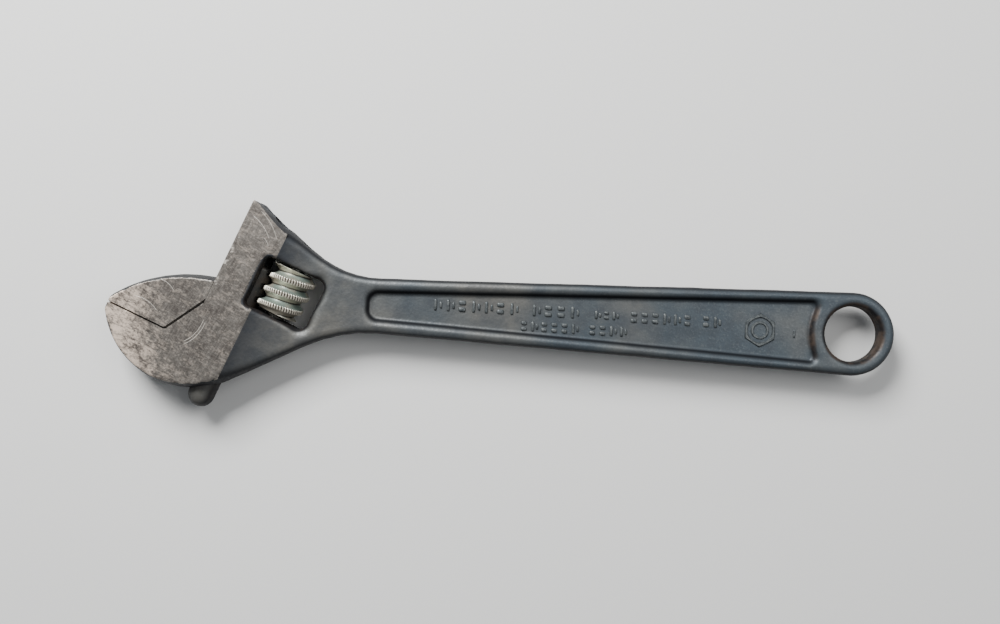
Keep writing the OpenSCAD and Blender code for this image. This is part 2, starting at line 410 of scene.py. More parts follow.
def pin_field(x, y, z):
    """The worm's pin: a shank with a screwed end and a slotted head."""
    from_axis, turn, b = worm_axes(x, y, z)
    screw = screw_depth * np.abs(np.cos(math.pi * (b / screw_pitch - turn))) * ramp(20, 19, b)
    shank = meet(from_axis - pin_r + screw, np.maximum(pin_b[0] - b, b - pin_b[1]), 0.4)
    head = np.maximum(from_axis - pin_head_r, pin_b[1] - pin_head_h - b)
    head = meet(head, b - pin_b[1] + pin_dome * from_axis ** 2, 0.4)
    slot = np.maximum(np.abs(z) - pin_slot_half, pin_b[1] - pin_slot_h - b)
    return cut(join(shank, head, 0.2), slot, 0.15)


# ---------------------------------------------------------------- meshes from fields

def crossings(field, nodes, value, axis):
    """Where the surface crosses the grid's edges along one axis: place, normal, lower node and side."""
    solid = value < 0
    low, high = [slice(None)] * 3, [slice(None)] * 3
    low[axis], high[axis] = slice(0, -1), slice(1, None)
    at = np.argwhere(solid[tuple(low)] != solid[tuple(high)])
    others = [(axis + 1) % 3, (axis + 2) % 3]
    inner = np.all([(at[:, k] > 0) & (at[:, k] < len(nodes[k]) - 1) for k in others], axis=0)
    at = at[inner]
    step = np.zeros(3, int)
    step[axis] = 1
    place = np.stack([nodes[k][at[:, k]] for k in range(3)], axis=1)
    start, end = nodes[axis][at[:, axis]], nodes[axis][at[:, axis] + 1]
    v0, v1 = value[tuple(at.T)], value[tuple((at + step).T)]
    for _ in range(6):
        share = np.clip(v0 / (v0 - v1), 0.08, 0.92)
        place[:, axis] = start + share * (end - start)
        v = field(*place.T)
        same = (v < 0) == (v0 < 0)
        start, v0 = np.where(same, place[:, axis], start), np.where(same, v, v0)
        end, v1 = np.where(same, end, place[:, axis]), np.where(same, v1, v)
    place[:, axis] = start + v0 / (v0 - v1) * (end - start)
    corners = np.array([(1, -1, -1), (-1, -1, 1), (-1, 1, -1), (1, 1, 1)], float)
    normal = sum(c * field(*(place + 0.01 * c).T)[:, None] for c in corners)
    normal /= np.linalg.norm(normal, axis=1)[:, None] + 1e-12
    return at, others, place, normal, solid[tuple(at.T)]


CELL_CORNERS = ((0, 0), (1, 0), (0, 1), (1, 1))


def settle(value):
    """Flips the slightest corner of each cell face whose inside corners only meet across it."""
    for _ in range(12):
        flips = 0
        for u, v in ((0, 1), (0, 2), (1, 2)):
            inside = value < 0
            corners = []
            for i, j in CELL_CORNERS:
                part = [slice(None)] * 3
                part[u] = slice(i, value.shape[u] - 1 + i)
                part[v] = slice(j, value.shape[v] - 1 + j)
                corners.append(inside[tuple(part)])
            at = np.argwhere(
                (corners[0] == corners[3]) & (corners[1] == corners[2]) & (corners[0] != corners[1])
            )
            spots = []
            for i, j in CELL_CORNERS:
                spot = at.copy()
                spot[:, u] += i
                spot[:, v] += j
                spots.append(spot)
            slight = np.argmin([np.abs(value[tuple(spot.T)]) for spot in spots], axis=0)
            pick = np.unique(np.stack(spots)[slight, np.arange(len(at))], axis=0)
            value[tuple(pick.T)] *= -1
            flips += len(pick)
        if not flips:
            return


def contour(field, nodes):
    """Vertices and quads where the field is zero. Each grid cell's vertex sits where its planes meet."""
    value = field(nodes[0][:, None, None], nodes[1][None, :, None], nodes[2][None, None, :])
    settle(value)
    shape = value.shape
    cells, places, normals, rings = [], [], [], []
    for axis in range(3):
        at, others, place, normal, inside = crossings(field, nodes, value, axis)
        ring = []
        for i, j in ((-1, -1), (0, -1), (0, 0), (-1, 0)):
            cell = at.copy()
            cell[:, others[0]] += i
            cell[:, others[1]] += j
            ring.append(np.ravel_multi_index(tuple(cell.T), shape))
        ring = np.stack(ring, axis=1)
        rings.append(np.where(inside[:, None], ring, ring[:, ::-1]))
        cells.append(ring.T.ravel())
        places.append(np.tile(place, (4, 1)))
        normals.append(np.tile(normal, (4, 1)))
    cells, places, normals = np.concatenate(cells), np.concatenate(places), np.concatenate(normals)
    ids, which = np.unique(cells, return_inverse=True)
    number = np.bincount(which)

    def gather(values):
        return np.bincount(which, values, len(ids))

    mean = np.stack([gather(places[:, k]) / number for k in range(3)], axis=1)
    reach = np.einsum("ij,ij->i", normals, places - mean[which])
    pull = 0.03 * number
    square = np.empty((len(ids), 3, 3))
    for i in range(3):
        for j in range(3):
            square[:, i, j] = gather(normals[:, i] * normals[:, j]) + (i == j) * pull
    aim = np.stack([gather(normals[:, k] * reach) for k in range(3)], axis=1)
    vertices = mean + np.linalg.solve(square, aim[:, :, None])[:, :, 0]
    corner = np.stack(np.unravel_index(ids, shape), axis=1)
    for k in range(3):
        low, high = nodes[k][corner[:, k]], nodes[k][corner[:, k] + 1]
        vertices[:, k] = np.clip(vertices[:, k], low, high)
    quads = np.searchsorted(ids, np.concatenate(rings))
    return vertices, quads


def grid_step(full):
    return full


def grid(low, high, step, margin=0.9):
    """The grid's places along one axis, with some room beyond both ends."""
    return np.arange(low - margin, high + margin + step, step)


def crisp_edges(mesh, angle):
    """Marks sharp the edges whose faces turn past an angle, in degrees, so shading breaks there."""
    loops = np.empty(len(mesh.loops), int)
    mesh.loops.foreach_get("edge_index", loops)
    sides = np.empty(len(mesh.polygons), int)
    mesh.polygons.foreach_get("loop_total", sides)
    normal = np.empty(len(mesh.polygons) * 3)
    mesh.polygons.foreach_get("normal", normal)
    order = np.argsort(loops, kind="stable")
    edge, normal = loops[order], normal.reshape(-1, 3)[np.repeat(np.arange(len(sides)), sides)[order]]
    along = np.einsum("ij,ij->i", normal[1:], normal[:-1])
    sharp = np.zeros(len(mesh.edges), bool)
    sharp[edge[1:][(edge[1:] == edge[:-1]) & (along < math.cos(math.radians(angle)))]] = True
    layer = mesh.attributes.new("sharp_edge", "BOOLEAN", "EDGE")
    layer.data.foreach_set("value", sharp)


def add_to_scene(name, data):
    """A new object in the scene."""
    thing = bpy.data.objects.new(name, data)
    bpy.context.scene.collection.objects.link(thing)
    return thing


def new_mesh(name, vertices, faces, material, crisp=38):
    """An object in metres, smooth but for the edges where its faces turn past the crisp angle."""
    mesh = bpy.data.meshes.new(name)
    mesh.from_pydata((np.asarray(vertices) * MM).tolist(), [], [list(map(int, f)) for f in faces])
    mesh.update()
    mesh.shade_smooth()
    crisp_edges(mesh, crisp)
    mesh.materials.append(material)
    return add_to_scene(name, mesh)


def point_values(piece, name, values):
    """Keeps one value for each point of the piece, for its material to read."""
    layer = piece.data.attributes.new(name, "FLOAT", "POINT")
    layer.data.foreach_set("value", np.ascontiguousarray(values, np.float32))


def points_of(mesh):
    """Each vertex's place in millimetres and its normal."""
    at, normal = (np.empty(len(mesh.vertices) * 3) for _ in range(2))
    mesh.vertices.foreach_get("co", at)
    mesh.vertices.foreach_get("normal", normal)
    return at.reshape(-1, 3) / MM, normal.reshape(-1, 3)


def bends_of(piece, passes):
    """How convex the surface is at each vertex, per millimetre, after 0, 1, 2... spreading passes."""
    mesh = piece.data
    n = len(mesh.vertices)
    at, normal = points_of(mesh)
    ends = np.empty(len(mesh.edges) * 2, int)
    mesh.edges.foreach_get("vertices", ends)
    one, two = ends.reshape(-1, 2).T
    way = at[two] - at[one]
    squared = np.einsum("ij,ij->i", way, way) + 1e-6
    bend_one = -np.einsum("ij,ij->i", normal[one], way) / squared
    bend_two = np.einsum("ij,ij->i", normal[two], way) / squared
    links = np.maximum(np.bincount(one, minlength=n) + np.bincount(two, minlength=n), 1)
    bend = (np.bincount(one, bend_one, n) + np.bincount(two, bend_two, n)) / links
    bends = [bend]
    for _ in range(passes):
        around = np.bincount(one, bend[two], n) + np.bincount(two, bend[one], n)
        bend = 0.5 * bend + 0.5 * around / links
        bends.append(bend)
    return bends


def steel_piece(name, node, field, nodes, material):
    """A piece of steel as its field's surface, kept inside the box of the part that it stands for."""
    vertices, quads = contour(field, nodes)
    low, high = (np.array(side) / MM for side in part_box(node))
    piece = new_mesh(name, np.clip(vertices, low, high), quads, material)
    bends = bends_of(piece, 8)
    point_values(piece, "edge", np.clip(bends[2] * 1.6, 0, 1))
    point_values(piece, "groove", np.clip(-bends[1] * 1.2, 0, 1))
    point_values(piece, "hollow", np.clip(-bends[8] * 2.5, 0, 1))
    return piece


def forged_values(piece, ground, grime_and_shade):
    """Marks a forged piece's ground surfaces, its grime and painted shade, its sides and the paler steel
    at its tips.
    """
    at, normal = points_of(piece.data)
    a, b = to_head(at[:, 0], at[:, 1])
    point_values(piece, "ground", ground(*at.T))
    point_values(piece, "grime_and_shade", grime_and_shade(*at.T))
    point_values(piece, "flank", 1 - np.abs(normal[:, 2]))
    from_tips = a + 0.75 * np.minimum(b, 0) + 0.6 * np.maximum(b, 0)
    point_values(piece, "tip", ramp(-3, -31, from_tips))


def turned_values(piece):
    """Marks how far each point of a turned piece faces the way in which the jaw opens."""
    _, normal = points_of(piece.data)
    point_values(piece, "upper", normal[:, 0] * open_x + normal[:, 1] * open_y)


# ---------------------------------------------------------------- materials

class Wire:
    """A shader socket whose arithmetic adds Math nodes."""

    def __init__(self, finish, socket):
        self.finish = finish
        self.socket = socket

    def math(self, operation, *values):
        """The result of a Math node on the values."""
        return self.finish.add("ShaderNodeMath", {"operation": operation}, dict(enumerate(values)))

    def __add__(self, other):
        return self.math("ADD", self, other)

    def __sub__(self, other):
        return self.math("SUBTRACT", self, other)

    def __rsub__(self, other):
        return self.math("SUBTRACT", other, self)

    def __mul__(self, other):
        return self.math("MULTIPLY", self, other)

    __radd__ = __add__
    __rmul__ = __mul__

    def between(self, low, high, start=0.0, end=1.0):
        """This value taken from low..high to start..end, and kept inside it."""
        return self.finish.add(
            "ShaderNodeMapRange",
            {"interpolation_type": "SMOOTHSTEP"},
            {"Value": self, "From Min": low, "From Max": high, "To Min": start, "To Max": end},
        )

    def most(self, other):
        """The greater of this value and the other."""
        return self.math("MAXIMUM", self, other)

    def size(self):
        """This value without its sign."""
        return self.math("ABSOLUTE", self)


class Finish:
    """One material, built from nodes round a single Principled shader."""

    def __init__(self, name):
        self.material = bpy.data.materials.new(name)
        self.material.use_nodes = True
        self.tree = self.material.node_tree
        self.shader = self.tree.nodes["Principled BSDF"]
        self.place = self.add("ShaderNodeTexCoord", {}, {}, "Object")

    def add(self, kind, settings, sockets, output=0):
        """A new node: its settings first, then its sockets' values or links. Gives one output."""
        node = self.tree.nodes.new(kind)
        for name, value in settings.items():
            setattr(node, name, value)
        for key, value in sockets.items():
            self.feed(node.inputs[key], value)
        return Wire(self, node.outputs[output])

    def feed(self, socket, value):
        """Links a wire to the socket, or sets a constant on it."""
        if isinstance(value, Wire):
            self.tree.links.new(value.socket, socket)
        else:
            socket.default_value = value

    def value(self, name):
        """A value kept on the mesh's points."""
        return self.add("ShaderNodeAttribute", {"attribute_name": name}, {}, "Fac")

    def placed(self, seed, turn=0.0, stretch=1):
        """Where a pattern is read: moved by seed, turned, and drawn out along its own x by stretch."""
        return self.add(
            "ShaderNodeMapping",
            {"vector_type": "TEXTURE"},
            {
                "Vector": self.place,
                "Location": (seed, seed, seed),
                "Rotation": (0, 0, turn),
                "Scale": (stretch, 1, 1),
            },
        )

    def noise(self, size_mm, detail=4, rough=0.55, stretch=1, turn=0.0, seed=0.0, warp=0.0):
        """Cloudy noise whose lumps are about size_mm across."""
        return self.add(
            "ShaderNodeTexNoise",
            {"noise_dimensions": "3D"},
            {
                "Vector": self.placed(seed, turn, stretch),
                "Scale": 1 / (size_mm * MM),
                "Detail": detail,
                "Roughness": rough,
                "Distortion": warp,
            },
        )

    def pits(self, size_mm, seed=0.0):
        """The distance from the middle of the nearest pit, with pits about size_mm apart."""
        return self.add(
            "ShaderNodeTexVoronoi",
            {},
            {"Vector": self.placed(-seed), "Scale": 1 / (size_mm * MM)},
            "Distance",
        )

    def scratch(self, start, end, bulge, width=0.16):
        """1 along a scored arc on the upper face, from start to end and bowed out by bulge, in mm."""
        (x0, y0), (x1, y1) = start, end
        half = math.hypot(x1 - x0, y1 - y0) / 2
        r = (half ** 2 + bulge ** 2) / (2 * bulge)
        mid = ((x0 + x1) / 2, (y0 + y1) / 2)
        off = (r - bulge) / half
        centre = (mid[0] + (y1 - y0) / 2 * off, mid[1] - (x1 - x0) / 2 * off)
        off_line = (self.distance(centre) - r * MM).size()
        near_middle = self.distance(mid).between(half * 0.8 * MM, half * MM, 1, 0)
        return off_line.between(0, width * MM, 1, 0) * near_middle

    def distance(self, point):
        """The distance from a point on the upper face, in metres."""
        return self.add(
            "ShaderNodeVectorMath",
            {"operation": "DISTANCE"},
            {0: self.place, 1: (point[0] * MM, point[1] * MM, head_half * MM)},
            "Value",
        )

    def mix(self, share, first, second):
        """Colour first where share is 0, and second where it is 1."""
        return self.add(
            "ShaderNodeMix", {"data_type": "RGBA"}, {0: share, 6: first, 7: second}, 2
        )

    def bump(self, height, depth_mm, strength):
        """The surface's normal with a relief of about depth_mm."""
        return self.add(
            "ShaderNodeBump", {}, {"Height": height, "Distance": depth_mm * MM, "Strength": strength}
        )

    def surface(self, **sockets):
        """Feeds the shader's sockets and gives the finished material."""
        for name, value in sockets.items():
            self.feed(self.shader.inputs[name.replace("_", " ")], value)
        return self.material


def rgb(red, green, blue):
    """A colour given as 0..255 display values."""
    def linear(v):
        v = v / 255
        return v / 12.92 if v <= 0.04045 else ((v + 0.055) / 1.055) ** 2.4
    return (linear(red), linear(green), linear(blue), 1)


# Blackened forging
BLACK_WARM = rgb(97, 96, 92)
BLACK_COOL = rgb(66, 74, 80)
BLACK_CLOUD = rgb(58, 62, 67)
BLACK_SPECK = rgb(104, 107, 107)
RUBBED_BLACK = rgb(140, 144, 145)
# Painted shade for the forged slope beside the ground face, which leans away from the light
SLOPE_SHADE = rgb(32, 38, 48)
# Painted shade for steep sides, standing in for the dark reflection that they show
FLANK_SHADE = rgb(11, 13, 18)
# Painted shade for hollows and the feet of walls
HOLLOW_SHADE = rgb(20, 24, 30)
# Dark grease, also used as painted shade in the hang hole, the window and on the rod's rack
OLD_GREASE_AND_SHADE = rgb(30, 27, 26)
RUST = rgb(76, 64, 55)

# Ground steel
STEEL_DARK = rgb(84, 80, 76)
STEEL_LIGHT = rgb(103, 99, 94)
FLECK_LIGHT = rgb(140, 136, 129)
FLECK_DARK = rgb(64, 60, 58)
GRAIN_LIGHT = rgb(134, 130, 125)
BRUSHED_LIGHT = rgb(146, 143, 137)
CLEAN_STEEL = rgb(216, 199, 182)
BROWN_STAIN = rgb(88, 78, 73)
RUBBED_RIM = rgb(184, 180, 172)
# Dirt with painted shade for the corners of the ground steel
CORNER_DIRT_AND_SHADE = rgb(44, 42, 41)
SCORED_STEEL = rgb(205, 200, 190)
streak_turn = -0.45

# Turned steel
WORM_DARK = rgb(166, 159, 144)
WORM_LIGHT = rgb(206, 198, 180)
# Dirt with painted shade for the worm's hollows and knurl grooves
WORM_DIRT_AND_SHADE = rgb(44, 42, 39)
PIN_DARK = rgb(120, 118, 114)
PIN_LIGHT = rgb(146, 143, 138)
# Dirt with painted shade for the pin's hollows and grooves
PIN_DIRT_AND_SHADE = rgb(60, 56, 50)
# Green patina with a painted sheen, for the lit flanks of the worm's thread
GREEN_PATINA_AND_SHEEN = rgb(136, 158, 150)
RUBBED_CREST = rgb(226, 220, 206)

# Panel marks, spring and floor
MARK_DARK = rgb(56, 61, 64)
MARK_LIGHT = rgb(84, 88, 88)
MARK_RUBBED = rgb(104, 108, 108)
SPRING_DARK = rgb(104, 102, 98)
SPRING_LIGHT = rgb(142, 138, 130)
FLOOR_PALE = rgb(214, 214, 212)


def speckle_of(steel):
    """The fine grain of forged scale."""
    return steel.noise(0.7, 3, 0.6, seed=0.7)


def rub_of(steel):
    """Where raised steel has been rubbed most."""
    return steel.noise(2.2, 4, 0.65, seed=2.3)


def blackened_layer(steel):
    """Colour, roughness and relief of the blackened forging."""
    edge, flank, grime_and_shade = steel.value("edge"), steel.value("flank"), steel.value("grime_and_shade")
    speckle, rub = speckle_of(steel), rub_of(steel)
    along = steel.add("ShaderNodeSeparateXYZ", {}, {"Vector": steel.place}, "X")
    broad = steel.noise(34, 3, seed=0.3) + along * 1.2
    cloudy = steel.noise(7, 4, 0.6, seed=1.1)
    rust = steel.noise(5, 4, 0.6, seed=1.9)
    worn = edge.between(0.2, 0.6) * rub.between(0.45, 0.62)

    black = steel.mix(broad.between(0.12, 0.55), BLACK_WARM, BLACK_COOL)
    black = steel.mix(cloudy.between(0.4, 0.65) * 0.45, black, BLACK_CLOUD)
    black = steel.mix(speckle.between(0.5, 0.75) * 0.35, black, BLACK_SPECK)
    black = steel.mix(worn * 0.4, black, RUBBED_BLACK)
    # Painted shade on the forged slope that falls away from the ground face
    black = steel.mix(steel.value("slope_shade") * 0.62, black, SLOPE_SHADE)
    # Painted shade on steep sides, the darker the more they face sideways
    black = steel.mix(flank.between(0.03, 0.4) * 0.92, black, FLANK_SHADE)
    # Painted shade in hollows and at the feet of walls
    black = steel.mix(steel.value("hollow").between(0.08, 0.6) * 0.6, black, HOLLOW_SHADE)
    # Dark grease with painted shade in the hang hole, the panels' eye end, the window and on the rod's
    # rack; rust in patches there
    black = steel.mix(grime_and_shade * 0.65, black, OLD_GREASE_AND_SHADE)
    black = steel.mix(grime_and_shade * rust.between(0.4, 0.62) * 0.62, black, RUST)
    rough = speckle.between(0.3, 0.7, 0.5, 0.38) - worn * 0.06 + flank * 0.2
    relief = speckle * 0.5 + steel.pits(1.3, seed=0.1) * 0.4 + rub * 0.3
    return black, rough, relief


def ground_layer(steel, scratches):
    """Colour, roughness and relief of stained ground steel, paler near the tips."""
    edge, near_tip = steel.value("edge"), steel.value("tip")
    grain = steel.noise(0.3, 3, 0.6, stretch=12, turn=1.1, seed=3.1)
    brushed = steel.noise(0.5, 3, 0.6, stretch=9, turn=streak_turn, seed=5.5)
    cloud = steel.noise(11, 5, 0.62, seed=4.7, warp=0.4)
    stain = steel.noise(2.4, 7, 0.72, stretch=2, turn=streak_turn, seed=6.1, warp=0.4)
    fleck = steel.noise(0.6, 4, 0.7, stretch=1.6, turn=streak_turn, seed=7.7, warp=0.3)
    fine_lines = steel.noise(0.45, 2, 0.5, stretch=26, turn=streak_turn - 0.2, seed=9.3)
    pale = (stain * 0.65 + fleck * 0.35 + near_tip * 0.1).between(0.47, 0.67)
    brown = (stain * 0.8 + cloud * 0.2).between(0.5, 0.36)
    rim = edge.between(0.2, 0.8) * rub_of(steel).between(0.42, 0.6)
    scored = fine_lines.between(0.68, 0.8) * 0.3
    for start, end, bulge in scratches:
        scored = scored.most(steel.scratch(start, end, bulge))
    scored = scored.most(steel.value("dings"))

    bright = steel.mix(cloud.between(0.35, 0.65), STEEL_DARK, STEEL_LIGHT)
    bright = steel.mix(fleck.between(0.45, 0.75) * 0.5, bright, FLECK_LIGHT)
    bright = steel.mix(fleck.between(0.5, 0.28) * 0.35, bright, FLECK_DARK)
    bright = steel.mix(grain.between(0.4, 0.7) * 0.18, bright, GRAIN_LIGHT)
    bright = steel.mix(brushed.between(0.5, 0.72) * 0.25, bright, BRUSHED_LIGHT)
    bright = steel.mix(pale * (0.22 + near_tip * 0.68), bright, CLEAN_STEEL)
    bright = steel.mix(brown * (0.25 + near_tip * 0.2), bright, BROWN_STAIN)
    bright = steel.mix(rim * 0.2, bright, RUBBED_RIM)
    # Dirt with painted shade in the hollows of the ground steel
    bright = steel.mix(steel.value("hollow").between(0.1, 0.5) * 0.6, bright, CORNER_DIRT_AND_SHADE)
    bright = steel.mix(scored * 0.75, bright, SCORED_STEEL)
    rough = grain.between(0.3, 0.7, 0.38, 0.52) + pale * 0.1 - rim * 0.08
    relief = grain * 0.25 + fleck * 0.3 - scored * 0.3
    return bright, rough, relief


def forged_and_ground(name, scratches):
    """Blackened forging that turns to stained ground steel where the mesh says it was ground."""
    steel = Finish(name)
    ground = steel.value("ground").between(0.4, 0.6)
    black, black_rough, black_relief = blackened_layer(steel)
    bright, bright_rough, bright_relief = ground_layer(steel, scratches)
    relief = black_relief * (1 - ground) + bright_relief * ground
    return steel.surface(
        Base_Color=steel.mix(ground, black, bright),
        Roughness=black_rough * (1 - ground) + bright_rough * ground,
        Metallic=ground * 0.3 + 0.5 - (1 - ground) * steel.value("flank") * 0.4,
        Specular_IOR_Level=0.25,
        Normal=steel.bump(relief, 0.12, 0.7),
    )


def turned_steel(name, low, high, dirt_and_shade, patina_and_sheen=0.0):
    """Bright turned steel with dirt and painted shade in its hollows and grooves, rubbed crests, and a
    green tint on the flanks that face the opening way: patina with a painted sheen.
    """
    steel = Finish(name)
    cloud = steel.noise(4, 4, 0.6, seed=2.2)
    tint = steel.noise(6, 3, 0.6, seed=5.2)
    fine = steel.noise(0.25, 3, 0.6, seed=8.2)
    # Green tint in patches, only on the flanks that face the opening way: patina with a painted sheen of
    # the lit flank
    green = steel.value("upper").between(0.05, 0.55) * tint.between(0.32, 0.56)
    colour = steel.mix(cloud.between(0.3, 0.7), low, high)
    colour = steel.mix(green * patina_and_sheen, colour, GREEN_PATINA_AND_SHEEN)
    # Dirt with painted shade in the hollows
    colour = steel.mix(steel.value("hollow").between(0.12, 0.7) * 0.6, colour, dirt_and_shade)
    colour = steel.mix(steel.value("edge").between(0.2, 0.8) * 0.45, colour, RUBBED_CREST)
    # Dirt with painted shade in the narrow grooves
    colour = steel.mix(steel.value("groove").between(0.1, 0.5) * 0.85, colour, dirt_and_shade)
    return steel.surface(
        Base_Color=colour,
        Roughness=fine.between(0.3, 0.7, 0.3, 0.46),
        Metallic=0.75,
        Normal=steel.bump(fine * 0.5 + cloud * 0.5, 0.04, 0.5),
    )


def raised_marks():
    """The panel's raised marks: the forging's black, rubbed paler on their flat tops."""
    steel = Finish("raised_marks")
    speckle = speckle_of(steel)
    colour = steel.mix(speckle.between(0.4, 0.7), MARK_DARK, MARK_LIGHT)
    colour = steel.mix(rub_of(steel).between(0.4, 0.62) * 0.5, colour, MARK_RUBBED)
    return steel.surface(
        Base_Color=colour,
        Roughness=speckle.between(0.3, 0.7, 0.48, 0.36),
        Metallic=0.5,
        Normal=steel.bump(speckle, 0.06, 0.6),
    )


def spring_wire():
    """Dull drawn wire."""
    steel = Finish("spring_wire")
    cloud = steel.noise(2, 4, 0.6)
    return steel.surface(
        Base_Color=steel.mix(cloud.between(0.35, 0.65), SPRING_DARK, SPRING_LIGHT),
        Roughness=cloud.between(0.3, 0.7, 0.32, 0.5),
        Metallic=0.8,
        Normal=steel.bump(cloud, 0.02, 0.4),
    )


# ---------------------------------------------------------------- the pieces

def body_ground(x, y, z):
    """1 on the forging's ground and machined surfaces, and 0 on its blackened ones."""
    a, b = to_head(x, y)
    high = np.abs(z)
    level = (high > head_half - near_face) | ((high > head_half - near_edge) & (a > ground_w - 1))
    face = np.clip(0.6 + ground_w - a, 0, 1) * level
    guided = (a > -0.6) & (a < near_face) & (b > throat_b - 1)
    jaw = (np.abs(outline_distance(OPENING, a, b)) < near_fit) & (b < head_top - top_margin)
    return np.where(guided | jaw, 1, face)


def body_grime_and_shade(x, y, z):
    """How dark the grime and painted shade are: most in the hang hole and the panels' eye end, less in
    the window, where it stands in for the shade on the walls.
    """
    a, b = to_head(x, y)
    from_hole = np.hypot(x, y)
    hole = ramp(12.6, 11.4, from_hole)
    pocket = ramp(18.2, 15.5, from_hole) * ramp(4.7, 4.2, np.abs(z)) * ramp(12.5, 10.5, np.abs(y))
    pocket = pocket * (x < 0)
    window = 0.4 * ramp(1.3, 0.3, outline_distance(WINDOW, a, b))
    return np.maximum(np.maximum(hole, pocket), window)


def jaw_grime_and_shade(x, y, z):
    """How much grime and painted shade lie on the rod: most on its rack, which sits in shade inside the
    head, and little on its round end.
    """
    a, b = to_head(x, y)
    return ramp(0.5, 3, a) * (0.15 + 0.5 * ramp(-12, -4, b))


def jaw_ground(x, y, z):
    """1 on the movable jaw's ground faces, and 0 on its back, web and rod."""
    a, b = to_head(x, y)
    face = np.abs(z) > head_half - near_face
    fit = np.abs(outline_distance(JAW_SPACE, a, b)) < near_fit
    return np.where((face | fit) & (a < 0.5), 1.0, 0.0)


def slide_dings(x, y, z):
    """1 in the small bright dings along the edge of the head's slide face."""
    a, b = to_head(x, y)
    spots = ramp(0.5, 0.9, ripples(21, 1.7, x, y, z)) * ramp(-0.6, 0.4, ripples(22, 6, x, y, z))
    return spots * ramp(1.9, 0.7, a) * ramp(-0.4, 0, a) * ramp(19, 26, b) * ramp(49, 43, b)


def box_nodes(node, step, margin=0.9):
    """Grid places round the box of a part."""
    low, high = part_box(node)
    return tuple(grid(low[k] / MM, high[k] / MM, step, margin) for k in range(3))


def make_body():
    """The forging, on a grid that is fine at the head, coarser along the handle, finer at the eye."""
    step = grid_step(0.5)
    head_x, handle_x, eye_x = -287.2, -188, -18
    nodes = (
        np.concatenate([
            np.arange(head_x, handle_x, step),
            np.arange(handle_x, eye_x, 2.4 * step),
            np.arange(eye_x, -eye_x, 1.15 * step),
        ]),
        grid(-37.5, 39.5, step),
        grid(-head_half, head_half, step),
    )
    body = steel_piece("forged_body", "body", body_field, nodes, BLACKENED)
    forged_values(body, body_ground, body_grime_and_shade)
    x, y, z = points_of(body.data)[0].T
    point_values(body, "dings", slide_dings(x, y, z))
    # Where the painted slope shade lies: strongest at the ground face's edge, gone 20 mm past it
    point_values(body, "slope_shade", ramp(ground_w + 20, ground_w, to_head(x, y)[0]))
    return body


def make_jaw():
    """The movable jaw with its web and rod."""
    nodes = box_nodes("movable_jaw", grid_step(0.4))
    jaw = steel_piece("sliding_jaw", "movable_jaw", jaw_field, nodes, GROUND)
    forged_values(jaw, jaw_ground, jaw_grime_and_shade)
    return jaw


def make_turned(name, node, field, material):
    """A small turned piece on a fine grid."""
    piece = steel_piece(name, node, field, box_nodes(node, grid_step(0.18), 0.5), material)
    turned_values(piece)
    return piece


def make_spring():
    """A compression spring round the pin, with its wire swept through closed rings."""
    wire_r, coil_r, coils = 0.4, 3.2, 5
    sides, steps = 12, 160
    foot = window_b[0] + wire_r + small_gap
    rise = worm_b[0] + spring_pocket_h - wire_r - small_gap - foot
    vertices = []
    for i in range(steps + 1):
        turn, height = math.tau * coils * i / steps, foot + rise * i / steps
        for j in range(sides):
            w = math.tau * j / sides
            r = coil_r + wire_r * math.cos(w)
            x, y = from_head(worm_a + r * math.cos(turn), height + wire_r * math.sin(w))
            vertices.append((x, y, r * math.sin(turn)))
    faces = [
        (i * sides + j, i * sides + (j + 1) % sides,
         (i + 1) * sides + (j + 1) % sides, (i + 1) * sides + j)
        for i in range(steps) for j in range(sides)
    ]
    faces += [tuple(range(sides - 1, -1, -1)), tuple(steps * sides + j for j in range(sides))]
    return new_mesh("thrust_spring", vertices, faces, spring_wire())


# Scored arcs: start, end and how far the arc bows out
BODY_SCRATCHES = (
    (from_head(1.9, 53.4), from_head(11.6, 48.0), 0.9),
    (from_head(4.0, 56.2), from_head(14.5, 48.8), 1.0),
    (from_head(9.6, 47.6), from_head(12.6, 45.2), 0.3),
    (from_head(2.6, 10.2), from_head(-0.9, -1.2), 1.4),
    (from_head(3.6, 9.8), from_head(-0.2, -2.0), 1.4),
)
JAW_SCRATCHES = (
    (from_head(-25, 6.5), from_head(-14.5, 5.0), 1.2),
    (from_head(-19, 16.5), from_head(-12, 14.5), 0.8),
)
BLACKENED = forged_and_ground("blackened_forging", BODY_SCRATCHES)
GROUND = forged_and_ground("ground_jaw", JAW_SCRATCHES)
MARK_STEEL = raised_marks()
WORM_STEEL = turned_steel("worm_turned", WORM_DARK, WORM_LIGHT, WORM_DIRT_AND_SHADE, patina_and_sheen=0.85)
PIN_STEEL = turned_steel("pin_turned", PIN_DARK, PIN_LIGHT, PIN_DIRT_AND_SHADE)


